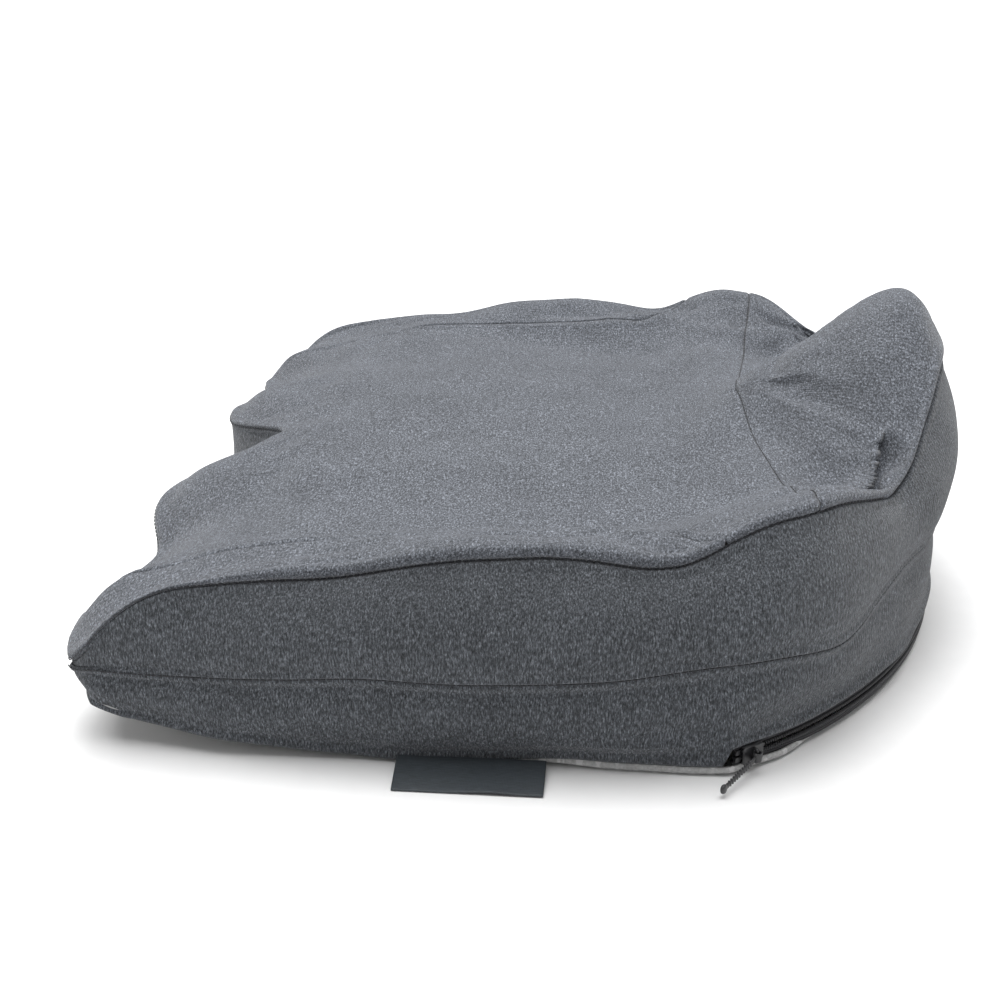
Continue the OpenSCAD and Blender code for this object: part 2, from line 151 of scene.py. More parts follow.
def outline(p, corner):
    """Radius of the plan outline on ray p; corner is how softly the side meets the back."""
    side = half_w / np.maximum(np.abs(cos(p)), 0.02)
    back = sin(p) * rear_c + np.sqrt(rear_r**2 - (rear_c * cos(p)) ** 2)
    forward = np.maximum(-sin(p), 0.001)
    t = np.abs(cos(p)) / forward
    edge = front_len - 54 * bell(t, 0.19) - 15 * bell(t - 0.57, 0.17)
    front = np.where(sin(p) < 0, edge / forward, 1e4)
    return soft_min(soft_min(side, back, corner), front, 30)


def base_r(p):
    return outline(p, 0.01)


def body_r(p):
    return outline(p, 44) + 3 * bell(fold(p) - 19, 16) + 3 * bell(fold(p) + 48, 7)


def at(p, r, z):
    """Points at radius r and height z on the rays p."""
    return np.stack(np.broadcast_arrays(r * cos(p), r * sin(p), z), -1)


print("outline: %.0f at the side, %.0f at the back" % (base_r(0.0), base_r(90.0)))

# %% [markdown]
# The sewn rings. Two seams run round the cushion, the lower seam and the main seam, and both rise
# and fall. Their heights are sums of steps and bells along the side, so each term is one thing
# that can be seen: the rolled front, the dip at the hips, the rise to the lobe.

# %% Seam rings


def ray_xy(p):
    return np.abs(base_r(p) * cos(p)), base_r(p) * sin(p)


def lift(p):
    """The underside curves up towards the front, slowly at first and faster at the edge."""
    f = ray_xy(p)[1] + front_len
    return front_lift * (0.66 * np.clip((149 - f) / 118, 0, 1) ** 1.3 + 0.34 * step(31, 6, f))


def foot_r(p):
    return base_r(p) - 5 * step(-front_len + 71, -front_len + 16, ray_xy(p)[1])


def side_height(y):
    """Height of the front roll and of the ridge behind it, along the side."""
    return (tip_z + roll_rise * ease_out((y + front_len) / 70)
            + hip_rise * np.clip((y + front_len - 61) / 150, 0, 1)
            - 5 * step(-190, -150, y) * step(-40, -110, y))


def main_z(p):
    """Height of the main seam, and of the front seam on the rays that end in the front edge."""
    w = rear_part(p)
    x, y = ray_xy(p)
    side = (side_height(y) - 4 * bell(y - 38, 24) + 13 * step(48, 98, y)
            - 12 * step(0.17, 0.44, w) + (lobe_rise - 34) * step(0.42, 0.83, w))
    front = tip_z + 12 * step(205, 150, x) + 11 * step(120, 70, x) + 13 * step(60, 0, x)
    return mix(front, side, step(-49, -43, fold(p)))


def main_r(p):
    return body_r(p) - 10 * step(-44, -30, fold(p)) + 3 * step(0.58, 0.93, rear_part(p))


def lower_z(p):
    """Height of the lower seam; below the front edge it is only a level halfway up the band."""
    a, w = fold(p), rear_part(p)
    y = ray_xy(p)[1]
    side = (lower_seam_z - 6 * step(-61, -181, y) - 4 * step(-207, -219, y)
            + 10 * step(-40, 90, y) - 5 * step(0.04, 0.21, w) + 12 * step(0.18, 0.44, w))
    return mix(mix(lift(p) + hem_h + 4.5, main_z(p), 0.45), side, step(-58, -45, a))


def lower_r(p):
    a, w = fold(p), rear_part(p)
    return (body_r(p) + 5 * step(-35, -25, a) * (1 - step(0, 0.37, w))
            - 2 * step(0.15, 0.43, w))


def belly(p):
    return 5 * step(-44, -30, fold(p)) + 4 * step(0.36, 0.79, rear_part(p))


# %% [markdown]
# The zip opening. On the round back the pale hem and the lower band part, and leave a slot of the
# slider's height. The edges of the slot are straight above each other, so the slider can pass.
# Towards the front the band hangs over the hem and hides it.

# %% Zip opening
slider_low, slider_high = frame_box("slider_body")
zip_z = (slider_low[2] + slider_high[2]) / 2
band_z = slider_high[2] + 0.4


def overhang(p):
    """1 where the lower band hangs over the hem and hides it, 0 where the hem shows."""
    return step(6, -22, fold(p))


def band_start(p):
    """Height of the lower band's bottom edge: at the hem, or over the zip."""
    return mix(lift(p) + hem_h + 0.3 - 3.4 * overhang(p), band_z, step(17.2, 18.5, fold(p)))


print("zip in the middle of the slot at %.1f mm, band edge at %.1f mm" % (zip_z, band_z))

# %% [markdown]
# The skins. Four functions give every point of the outside from a ray p and a share t: the
# underside, the lower band, the side band and the top. The top starts from the main seam, rolls
# over a rim, and settles into the seat: thigh channels, a shallow hollow, and the lobe with its
# nose. It could be sculpted by hand, but as a formula it can be changed one number at a time.

# %% Skins


def under_skin(p, t):
    """From the middle (t 0) out to the top of the hem (t 1): flat, then a quarter ellipse."""
    flat = np.minimum(t / 0.9, 1)
    turn = np.radians(90 * np.clip((t - 0.9) / 0.1, 0, 1))
    edge = foot_r(p) - 1.6 * overhang(p) - 3.5 * step(24, 31, fold(p))
    r = (edge - 5) * flat + 5 * np.sin(turn)
    return at(p, r, lift(p) * step(0.55, 1, flat) + hem_h * (1 - np.cos(turn)))


def lower_skin(p, t):
    """From the bottom edge of the lower band to the lower seam."""
    e = step(0.12, 1, t)
    room = np.clip((lower_z(p) - band_start(p) - 4) / 12, 0.3, 1)
    r = mix(foot_r(p) + 0.4 * overhang(p), lower_r(p), e) + 2 * room * np.sin(np.pi * e)
    return at(p, r, mix(band_start(p), lower_z(p), t))


def side_skin(p, t):
    """From the lower seam to the main seam, with a belly between them."""
    r = mix(lower_r(p), main_r(p), t * t) + belly(p) * np.sin(np.pi * np.clip(t, 0, 1)) ** 0.8
    return at(p, r, mix(lower_z(p), main_z(p), t))


def seat(x, y):
    """Height of the seat over the plan point (x, y)."""
    ax = np.abs(x)
    nose = lobe_rise * step(50, 178, y) * np.exp(-(ax / (32 + 54 * step(88, 150, y))) ** 2.3)
    return (seat_z - 5 * bell(y - 15, 60) + 9 * step(40, 88, y)
            - 9 * bell(ax - 122, 34) * step(-40, -190, y) - 8 * bell(x, 45) * step(-110, -190, y)
            - 14 * step(90, 170, ax) * step(-130, -215, y)
            - bowl_depth * bell(ax - 108, 26) * bell(y - 120, 22) + nose)


def crest(p):
    """Height that the rim rolls up to before it turns in."""
    a, w = fold(p), rear_part(p)
    return main_z(p) + 8 * step(-42, -28, a) + 17 * step(0.61, 0.97, w)


def top_skin(p, v):
    """From the main seam (v 1) in to the point where the back panel's seam crosses the middle."""
    a, w, r = fold(p), rear_part(p), main_r(p)
    x2, y2 = r * cos(p), r * sin(p)
    x, y = v * x2, mix(back_seam_y, y2, v)
    d = (1 - v) * np.hypot(x2, y2 - back_seam_y)
    side = step(-44, -34, a) * (1 - step(0.13, 0.32, w))
    rear, front = step(0.44, 0.79, w), 1 - step(-50, -44, a)
    corner = np.maximum(1 - front - side - rear, 0) * np.where(a < 0, 60, 36)
    ahead = (46 + 16 * bell(a + 52, 10)) * front
    u = np.minimum(d / (ahead + 78 * side + 30 * rear + corner), 1)
    roll = (side_height(y) - side_height(y2)) * step(-53, -49, a) * step(-22, -36, a)
    rim = (main_z(p) + roll
           + (crest(p) - main_z(p)) * np.sqrt(1 - (1 - np.minimum(d / 18, 1)) ** 2))
    z = mix(rim, seat(x, y), mix(step(0, 1, u), ease_out(u), front))
    crease = 3.2 * bell(d - mix(26, 10, step(32, 45, a)), 2.2) * step(31, 35, a) * step(48, 44, a)
    upper_edge = 11 + 8 * step(44, 54, a)
    pocket = (10 * step(upper_edge + 3, upper_edge - 1.5, d) * step(1.5, upper_edge - 3, d)
              * step(42, 47, a) * step(59, 55, a))
    return np.stack(np.broadcast_arrays(x, y, z - crease - pocket), -1)


def strip_v(p):
    """Share of the way out at which the rim strip's inner seam crosses ray p; 1 is no strip."""
    r = main_r(p)
    x2, y2 = np.abs(r * cos(p)), r * sin(p)
    return np.minimum(1, (strip_x + 34 * step(20, 88, y2)) / np.maximum(x2, 1))


print("seat %.0f mm, lobe %.0f mm high" % (seat(0.0, 0.0), top_skin(90.0, 0.8)[2]))

# %% [markdown]
# The stuffing. A foam block pushes its cover out a little between the seams, and that swelling is
# what makes a padded thing look full. Blender's cloth does it well: one net over the whole
# cushion starts slightly too small, holds on at its seams, and is blown up from inside. Only the
# swelling is kept, as a map over rays and rings, so that every finely meshed panel can use it.

# %% A net over the whole cushion


def over_top(p, s):
    """The top skin again, but running inwards: s is 0 at the main seam and 1 in the middle."""
    return top_skin(p, 1 - s)


SKINS = {"under": under_skin, "lower": lower_skin, "side": side_skin, "top": over_top}


def normals(skin, p, t):
    """Outward unit normals: the cross product of two short steps, one along each parameter."""
    t = np.minimum(t, 0.985)           # a skin's last point may be a pole, which has none
    low, high = np.clip(t - 0.004, 0, 1), np.clip(t + 0.004, 0, 1)
    n = np.cross(skin(p + 0.3, t) - skin(p - 0.3, t), skin(p, high) - skin(p, low))
    return n / np.maximum(np.linalg.norm(n, axis=-1, keepdims=True), 1e-9)


def whole_net(columns, rows):
    """Points and normals of all four skins on one grid, and the row where each skin starts."""
    p = (np.arange(columns) * 360 / columns)[None, :]
    points, outward, starts, count = [], [], {}, 0
    for name, number in rows.items():
        t = np.linspace(0, 1, number + 1)[:-1, None]
        t = np.maximum(t, 0.04) if name == "under" else t
        starts[name], count = count, count + number
        points.append(SKINS[name](p, t) + 0 * p[..., None])
        outward.append(normals(SKINS[name], p + 0 * t, t + 0 * p))
    return np.concatenate(points), np.concatenate(outward), starts


def grid_faces(rows, columns, wrap):
    """Quads between neighbouring rows and columns; wrap joins the last column to the first."""
    index = np.arange(rows * columns).reshape(rows, columns)
    left = index if wrap else index[:, :-1]
    right = np.roll(index, -1, 1) if wrap else index[:, 1:]
    return np.stack([left[:-1], right[:-1], right[1:], left[1:]], -1).reshape(-1, 4)


def cap_faces(row, centre, flip):
    """Triangles from one ring of points to a centre point."""
    fan = np.stack([row, np.roll(row, -1), np.full(len(row), centre)], -1)
    return fan[:, ::-1] if flip else fan


def make_mesh(name, points, faces, uv=None):
    """An object from points in millimetres and a list of face arrays; uv is one pair per point."""
    mesh = bpy.data.meshes.new(name)
    every = [face for block in faces for face in block.tolist()]
    mesh.from_pydata((points.reshape(-1, 3) * MM).tolist(), [], every)
    if uv is not None:
        corner = np.zeros(len(mesh.loops), np.int32)
        mesh.loops.foreach_get("vertex_index", corner)
        layer = mesh.uv_layers.new(name="weave")
        layer.data.foreach_set("uv", (uv.reshape(-1, 2) * MM)[corner].astype(np.float32).ravel())
    mesh.polygons.foreach_set("use_smooth", np.ones(len(mesh.polygons), bool))
    mesh.update()
    made = bpy.data.objects.new(name, mesh)
    bpy.context.scene.collection.objects.link(made)
    return made


# %% [markdown]
# The simulation itself. The seam rows and the underside are held, pressure pushes the rest out,
# and after some frames each point's stand-off along its normal is read and capped.


# %% Blow the net up
NET_ROWS = {"under": 8, "lower": 8, "side": 14, "top": 34}
swell_cap = 3.0                        # the most that the cover may move, in millimetres
shrink = 2.2                           # how much too small the cloth starts
blow_frames = 20                       # frames that the cloth has to settle in


def cloth_swelling(columns=224):
    """How far the blown-up cover stands off the plain skins, in millimetres, on the net."""
    plain, outward, starts = whole_net(columns, NET_ROWS)
    rows = plain.shape[0]
    sewn = np.zeros(rows, bool)
    sewn[[starts["lower"], starts["side"], starts["top"]]] = True
    sewn[:starts["lower"]] = True
    loose = np.where(sewn, 0.0, 1.0)[:, None, None]
    start = plain - outward * shrink * loose
    flat = np.concatenate([start.reshape(-1, 3), start[:1].mean(1), start[-1:].mean(1)])
    index = np.arange(rows * columns).reshape(rows, columns)
    net = make_mesh("net", flat, [
        grid_faces(rows, columns, True), cap_faces(index[0], rows * columns, True),
        cap_faces(index[-1], rows * columns + 1, False)])
    held = net.vertex_groups.new(name="held")
    held.add([int(i) for i in index[sewn].ravel()] + [rows * columns], 1.0, "REPLACE")
    cloth = net.modifiers.new("cloth", "CLOTH")
    cloth.settings.vertex_group_mass = "held"
    cloth.settings.use_pressure = True
    cloth.settings.uniform_pressure_force = 4
    cloth.settings.tension_stiffness = cloth.settings.compression_stiffness = 12
    cloth.settings.bending_stiffness = 0.6
    cloth.settings.effector_weights.gravity = 0
    cloth.point_cache.frame_end = blow_frames
    for frame_number in range(1, blow_frames + 1):
        bpy.context.scene.frame_set(frame_number)
    blown = net.evaluated_get(bpy.context.evaluated_depsgraph_get()).data
    moved = np.zeros(len(flat) * 3, np.float32)
    blown.vertices.foreach_get("co", moved)
    moved = moved.reshape(-1, 3)[:rows * columns].reshape(rows, columns, 3) / MM
    bpy.data.objects.remove(net)
    bpy.context.scene.frame_set(1)
    stand_off = np.clip(((moved - plain) * outward).sum(-1), -swell_cap, swell_cap)
    return stand_off * loose[..., 0], starts


swelling, net_starts = cloth_swelling()
print("swelling %.2f to %.2f mm" % (swelling.min(), swelling.max()))

# %% [markdown]
# Panels. Each panel is a finely meshed patch of one skin. Three things are added along its
# outward normal: the swelling, a slight unevenness of hand sewing and soft foam, and a dip along
# each sewn edge, because thread pulls the knit down into the foam.

# %% Panel helpers
wave_count = 12
wave_turn = rng.normal(size=(wave_count, 3))
wave_turn /= np.linalg.norm(wave_turn, axis=1, keepdims=True)
wave_length = rng.uniform(30, 95, wave_count)
wave_phase = rng.uniform(0, 2 * np.pi, wave_count)


def unevenness(points):
    """A few slow waves in all directions, added up; longer waves are higher."""
    turns = points @ (wave_turn / wave_length[:, None]).T * 2 * np.pi + wave_phase
    return (np.sin(turns) * wave_length * 0.0035).sum(-1)


def swelling_at(skin_name, p, t):
    """The swelling at ray p and share t of one skin, straight between the net's points."""
    first = net_starts[skin_name]
    field = swelling[first:first + NET_ROWS[skin_name] + 1]
    rows, columns = field.shape
    x, y = (p % 360) / 360 * columns, np.clip(t, 0, 1) * (rows - 1)
    i, j = np.floor(x).astype(int), np.minimum(np.floor(y).astype(int), rows - 2)
    i0, i1 = i % columns, (i + 1) % columns
    value = mix(mix(field[j, i0], field[j, i1], x - i),
                mix(field[j + 1, i0], field[j + 1, i1], x - i), y - j)
    if skin_name == "top":
        value = mix(value, field[-1].mean(), step(0.8, 1, t))
    return value


def run(points, axis):
    """Distance along the grid from its first row or column."""
    steps = np.linalg.norm(np.diff(points, axis=axis), axis=-1)
    total = np.cumsum(steps, axis)
    return np.insert(total, 0, 0, axis)


def crowded(number, both=True):
    """Shares from 0 to 1 that lie closer together near the ends, where the seams are."""
    s = np.linspace(0, 1, number)
    return 0.5 - 0.5 * np.cos(np.pi * s) if both else 1 - np.cos(np.pi / 2 * s)


def turned_to_seam(outward, edge, neighbour, p, gap, reach=5.0):
    """Outward directions that turn, near one edge, to halfway between the two panels that are
    sewn there, so that both dip the same way and meet. neighbour is a skin and its share."""
    skin_name, share = neighbour
    other = normals(SKINS[skin_name], p[0], np.full(p.shape[1], float(share)))
    halfway = outward[edge] + other
    halfway /= np.linalg.norm(halfway, axis=-1, keepdims=True)
    weight = np.exp(-((gap / reach) ** 2))[..., None]
    turned = mix(outward, halfway[None], weight)
    return turned / np.linalg.norm(turned, axis=-1, keepdims=True)


def panel(name, pieces, p, t, dips, body="cushion", wall=knit_t,
          crimp=0.0, lip=0.0, uv=None, meets=(None, None)):
    """A closed sheet of fabric over the rays p and shares t of one skin, with dipped edges.

    dips gives depth and width in millimetres for the first row, the last row, the first column
    and the last column. crimp is a fine ripple along the last row, and lip a soft ridge beside
    the first. uv is worked out from the distance along each direction unless it is given."""
    skin_name, replaced = pieces
    skin = SKINS[skin_name]
    plain = skin(p, t)
    outward = normals(skin, p, t)
    rise = swelling_at(skin_name, p, t) + unevenness(plain)
    along_rows, along_columns = run(plain, 0), run(plain, 1)
    gaps = [along_rows, along_rows[-1:] - along_rows,
            along_columns, along_columns[:, -1:] - along_columns]
    for edge, neighbour, gap in ((0, meets[0], gaps[0]), (-1, meets[1], gaps[1])):
        if neighbour:
            away = np.where(np.abs(t[edge] - round(float(t[edge].min()))) < 0.002, 0, 99)
            outward = turned_to_seam(outward, edge, neighbour, p, gap + away)
    for gap, (depth, width) in zip(gaps, dips):
        rise = rise - depth * np.exp(-((gap / width) ** 2)) - 0.6 * depth * np.exp(
            -((gap / 0.5) ** 2))
    if crimp:
        ripple = np.sin(along_columns[-1:] * 2 * np.pi / 3.1)
        rise = rise - crimp * (0.5 + 0.5 * ripple) * np.exp(-((gaps[1] / 4.5) ** 2))
    rise = rise + lip * np.exp(-(((gaps[0] - 5) / 2.8) ** 2))
    points = plain + outward * rise[..., None]
    points[..., 2] = np.maximum(points[..., 2], 0.1)
    if uv is None:
        middle = along_columns[len(along_columns) // 2]
        uv = np.stack(np.broadcast_arrays(middle[None, :], along_rows), -1)
    made = make_mesh(name, points, [grid_faces(*p.shape, False)], uv)
    thick = made.modifiers.new("fabric", "SOLIDIFY")
    thick.thickness, thick.offset = wall * MM, -1
    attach(made, body)
    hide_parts(*replaced)
    return made


def lattice(p0, p1, columns, shares):
    """Rays and shares as two grids."""
    return np.meshgrid(np.linspace(p0, p1, columns), shares)


# %% [markdown]
# The side bands and the lower band. They are the tall faces of the cushion, cut from the same knit
# with its columns standing upright; their copy of the knit is darker than the top's, which is
# painted shade.

# %% Bands
deep = (1.3, 1.3)                      # a dip where two panels meet along a strong seam
level = (0.7, 1.0)                     # the lower seam, which lies almost level
tight = (0.9, 1.2)                     # a short seam, or an edge that is turned in
tip_ray = 47.5                         # degrees forward of the side, through the front tips
bands = []
for name, p0, p1 in (("left", -tip_ray, 90), ("right", 90, 180 + tip_ray)):
    p, t = lattice(p0, p1, 560, crowded(58))
    bands.append(panel(name + "_side_band_knit", ("side", [name + "_side_band"]), p, t,
                       [level, deep, tight, tight], crimp=0.5,
                       meets=(("lower", 1), ("top", 0))))
p, t = lattice(-tip_ray, 180 + tip_ray, 900, crowded(40))
bands.append(panel("lower_band_knit", ("lower", ["lower_band"]), p, t,
                   [tight, level, tight, tight], meets=(None, ("side", 0))))
print("bands:", [band.name for band in bands])

# %% [markdown]
# The front band follows the scallops and the notch. It runs from the hem to the front seam in one
# piece, so it uses the lower skin first and the side skin after it.


# %% Front band
def front_skin(p, t):
    """The lower skin up to its share of the height, then the side skin."""
    share = (lower_z(p) - band_start(p)) / (main_z(p) - band_start(p))
    low = lower_skin(p, np.clip(t / share, 0, 1))
    high = side_skin(p, np.clip((t - share) / (1 - share), 0, 1))
    return np.where((t < share)[..., None], low, high)


SKINS["front"] = front_skin
NET_ROWS["front"], net_starts["front"] = NET_ROWS["side"], net_starts["side"]
p, t = lattice(180 + tip_ray, 360 - tip_ray, 420, crowded(44))
front_band = panel("front_band_knit", ("front", ["front_band"]), p, t,
                   [tight, deep, tight, tight], crimp=0.4, meets=(None, ("top", 0)))
print("front band:", len(front_band.data.vertices), "points")

# %% [markdown]
# The upper panels: the seat, a narrow strip along each side ridge, and the panel that wraps the
# tailbone lobe. Their inner seams are faint, so they get shallow dips. The seat's outer edge is
# wherever a strip ends, or else the main seam.

# %% Upper panels
faint = (0.5, 0.9)
p, s = lattice(150, 390, 470, crowded(94, both=False))
s = mix(1 - strip_v(p), 1, s)
spot = over_top(p, s)
sewn_deep = np.where(strip_v(p[0]) > 0.999, deep[0], faint[0])
seat_knit = panel("seat_knit", ("top", ["seat_panel"]), p, s,
                  [(sewn_deep, 1.8), (0, 1), faint, faint], lip=0.5,
                  uv=spot[..., :2], meets=(("side", 1), None))
p, s = lattice(30, 150, 420, crowded(84, both=False))
back_knit = panel("back_inner_knit", ("top", ["back_inner_panel"]), p, s,
                  [deep, (0, 1), faint, faint], lip=0.9,
                  meets=(("side", 1), None))
rays = np.linspace(-60, 40, 4001)
rays = rays[strip_v(rays) < 0.996]
strip_ends = (("left", rays[0], rays[-1]), ("right", 180 - rays[-1], 180 - rays[0]))
strips = []
for name, first, last in strip_ends:
    p, s = lattice(first, last, 420, crowded(26))
    s = s * (1 - strip_v(p))
    strips.append(panel(name + "_rim_strip_knit", ("top", [name + "_rim_strip"]), p, s,
                        [deep, faint, (0, 1), (0, 1)], lip=0.9,
                        uv=over_top(p, s)[..., :2], meets=(("side", 1), None)))
print("strips run from ray %.1f to ray %.1f" % (rays[0], rays[-1]))

# %% [markdown]
# The base. The pale fabric under the cushion turns up a few millimetres at the edge, and shows
# there as a thin light line.

# %% Base
p, t = lattice(0, 360, 480, crowded(60, both=False))
t = np.maximum(t[::-1] * -1 + 1, 0.002)
base_cloth = panel("base_cloth", ("under", ["bottom_panel"]), p, t,
                   [(0, 1), (0.7, 1.2), (0, 1), (0, 1)], wall=1.0,
                   uv=under_skin(p, t)[..., :2])

# %% [markdown]
# The foam. It can't be seen, but a cushion without its filling is an empty bag, so it is made
# from the same skins, set back far enough to clear every dip and the zip.

# %% Foam
points, outward, starts = whole_net(240, {"under": 10, "lower": 10, "side": 16, "top": 40})
rows, columns = points.shape[:2]
index = np.arange(rows * columns).reshape(rows, columns)
ring_angle = (np.arange(columns) * 360 / columns)[None, :, None]
zip_space = 4.5 * step(12, 18, fold(ring_angle)) * step(30, 20, points[..., 2:])
core = points - outward * 6.5 - zip_space * at(ring_angle[..., 0], 1.0, 0.0)
ahead = step(-20, -36, fold(ring_angle))
core[..., :2] *= 1 - 0.055 * ahead
core[..., 2] -= 2 * ahead[..., 0]
inwards = (np.arange(rows - starts["top"]) / (rows - starts["top"]))[:, None]
core[starts["top"]:, :, 2] -= 8 * bell(fold(ring_angle[..., 0]) - 48, 14) * (1 - inwards**2)
core[..., 2] = np.maximum(core[..., 2], 2.5)
core = np.concatenate([core.reshape(-1, 3), core[:1].mean(1), core[-1:].mean(1)])
foam = make_mesh("foam_block", core, [
    grid_faces(rows, columns, True), cap_faces(index[0], rows * columns, True),
    cap_faces(index[-1], rows * columns + 1, False)])
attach(foam, "cushion")
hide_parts("foam_core")
print("foam from %.1f to %.1f mm high" % (core[:, 2].min(), core[:, 2].max()))

# %% [markdown]
# Stitches. A seam's thread shows as a row of short stitches, each a tiny capsule. They could be
# placed one by one, but a seam is a path, so one stitch is worked out and repeated along it.


# %% Stitches
def evenly(path, outward, pitch):
    """Points a pitch apart along a path, with the path's direction and outward normal there."""
    along = run(path[None], 1)[0]
    stops = np.arange(pitch / 2, along[-1], pitch)
    centre = np.stack([np.interp(stops, along, path[:, i]) for i in range(3)], -1)
    ahead = np.stack([np.interp(stops + 0.5, along, path[:, i]) for i in range(3)], -1)
    up = np.stack([np.interp(stops, along, outward[:, i]) for i in range(3)], -1)
    forward = ahead - centre
    forward /= np.maximum(np.linalg.norm(forward, axis=1, keepdims=True), 1e-6)
    across = np.cross(up, forward)
    across /= np.linalg.norm(across, axis=1, keepdims=True)
    return centre, forward, across, np.cross(forward, across)


def stitches(name, path, outward, node, length=2.4, pitch=2.9, radius=0.32):
    """A capsule of six sides and four rings, repeated along the path."""
    centre, forward, across, up = evenly(path, outward, pitch)
    turn = np.arange(6) * np.pi / 3
    ring_x = length * np.array([-0.5, -0.34, 0.34, 0.5])
    ring_r = radius * np.array([0.35, 1, 1, 0.35])
    offset = (forward[:, None, None] * ring_x[None, :, None, None]
              + across[:, None, None] * (ring_r[:, None] * np.cos(turn))[None, ..., None]
              + up[:, None, None] * (ring_r[:, None] * np.sin(turn))[None, ..., None])
    points = centre[:, None, None] + offset
    one = grid_faces(4, 6, True)
    first = (np.arange(len(centre)) * 24)[:, None, None]
    ends = np.stack([np.arange(6)[::-1], np.arange(18, 24)])
    made = make_mesh(name, points, [(first + one[:, ::-1]).reshape(-1, 4),
                                    (first + ends[:, ::-1]).reshape(-1, 6)])
    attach(made, "cushion")
    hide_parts(node)
    return made


def seam_path(skin_name, p, t, depth):
    """Points on a seam, as deep as its dip, and the outward direction there."""
    skin = SKINS[skin_name]
    outward = normals(skin, p, t)
    if skin_name == "side":
        outward = outward + normals(*((over_top, p, 0 * p) if t[0] > 0.5 else
                                      (lower_skin, p, 0 * p + 1)))
        outward /= np.linalg.norm(outward, axis=1, keepdims=True)
    plain = skin(p, t)
    return plain + outward * (swelling_at(skin_name, p, t) + unevenness(plain)
                              - depth)[:, None], outward


seams = []
p = np.linspace(0, 360, 1600)
seams.append(stitches("main_seam_stitches", *seam_path("side", p, 0 * p + 1, 1.45),
                      "main_seam_thread"))
p = np.linspace(0.2 - tip_ray, 179.8 + tip_ray, 1200)
seams.append(stitches("lower_seam_stitches", *seam_path("side", p, 0 * p, 0.75),
                      "lower_seam_thread"))
s = np.linspace(0.01, 0.995, 500)
path_out, up_out = seam_path("top", 0 * s + 30, s, 0.5)
path_in, up_in = seam_path("top", 0 * s + 150, s[::-1], 0.5)
seams.append(stitches("back_seam_stitches", np.concatenate([path_out, path_in]),
                      np.concatenate([up_out, up_in]), "back_seam_thread", radius=0.24))
for name, first, last in strip_ends:
    p = np.linspace(first, last, 700)
    seams.append(stitches(name + "_strip_stitches", *seam_path("top", p, 1 - strip_v(p), 0.55),
                          name + "_strip_thread", radius=0.2))
print("stitches:", sum(len(seam.data.vertices) // 24 for seam in seams))

# %% [markdown]
# The zip. Its coils are nylon wire wound into a long spiral along the edge of each tape. A tube
# is carried along the spiral: at each point of a path a ring stands square to the path.


# %% Tube helper
def tube(path, radius, sides, steady, closed_ends=True):
    """Points and faces of a tube of the given radius, one number or one per point. Its rings
    turn with the path, and steady is a direction that the path never runs along for long."""
    forward = np.gradient(path, axis=0)
    forward /= np.linalg.norm(forward, axis=1, keepdims=True)
    first = steady - (steady * forward).sum(-1, keepdims=True) * forward
    first /= np.linalg.norm(first, axis=1, keepdims=True)
    second = np.cross(forward, first)
    turn = np.arange(sides) * 2 * np.pi / sides
    radius = np.broadcast_to(radius, len(path))[:, None, None]
    points = path[:, None] + radius * (first[:, None] * np.cos(turn)[None, :, None]
                                       + second[:, None] * np.sin(turn)[None, :, None])
    faces = [grid_faces(len(path), sides, True)]
    if closed_ends:
        last = (len(path) - 1) * sides
        faces += [np.arange(sides)[None, ::-1], np.arange(last, last + sides)[None]]
    return points.reshape(-1, 3), faces


def joined(parts):
    """Several point and face sets as one."""
    points, faces, count = [], [], 0
    for some_points, some_faces in parts:
        points.append(some_points)
        faces += [block + count for block in some_faces]
        count += len(some_points)
    return np.concatenate(points), faces


# %% [markdown]
# Where the zip is. The slider's pivot gives the angle and the radius, and the frame's coil gives
# the thickness and the height of the spirals and the angle at which they start.


# %% Coils
joints = {joint["name"]: joint for joint in frame["record"]["behaviour"]["joints"]}
pull_pivot = np.array(joints["pull_swing"]["pos_m"]) / MM
slider_turn = np.degrees(np.arctan2(pull_pivot[1] - rear_c, pull_pivot[0]))
pivot_r = np.hypot(pull_pivot[0], pull_pivot[1] - rear_c)
coil_low, coil_high = frame_box("zip_coil_upper")
coil_r = (coil_high[2] - coil_low[2]) / 2
coil_offset = (coil_high[2] + coil_low[2]) / 2 - zip_z
tape_r = pivot_r - 5.1                 # the pivot stands this far out from the tape
zip_end = np.degrees(np.arccos(coil_high[0] / (tape_r + coil_r))) + 0.15


def on_zip(turn, r, z):
    """Points on the zip's circle, by angle, distance from its centre and height."""
    return np.stack(np.broadcast_arrays(r * cos(turn), rear_c + r * sin(turn), zip_z + z), -1)


def coil(side, pitch=1.3, wire=0.44, reach=0.28):
    """A spiral: the wire turns once in each pitch, and reaches a little towards the other coil."""
    length = np.radians(180 - 2 * zip_end) * tape_r
    turns = int(length / pitch)
    angle = np.linspace(0, 2 * np.pi * turns, turns * 10 + 1)
    turn = zip_end + np.linspace(0, 180 - 2 * zip_end, len(angle))
    z = side * (coil_offset + (coil_r - wire) * np.cos(angle)
                - reach * np.maximum(-np.cos(angle), 0) ** 3)
    path = on_zip(turn + side * 0.07, tape_r + (coil_r - wire) * np.sin(angle) * 0.95, z)
    steady = np.stack([-sin(turn), cos(turn), 0 * turn], -1)
    return tube(path, wire, 5, steady)


coils = []
for name, side in (("upper", 1), ("lower", -1)):
    wire = make_mesh(name + "_coil_wire", *coil(side))
    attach(wire, "cushion")
    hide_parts("zip_coil_" + name)
    coils.append(wire)
print("coils start %.1f degrees round, slider at %.1f" % (zip_end, slider_turn))

# %% [markdown]
# The slider. Two cast plates are joined by a blade, with a low rail along each edge, and a bent
# wire on top holds the pull. The plates are superellipsoids: a sphere whose curve is raised to a
# low power, which gives a block with soft edges.


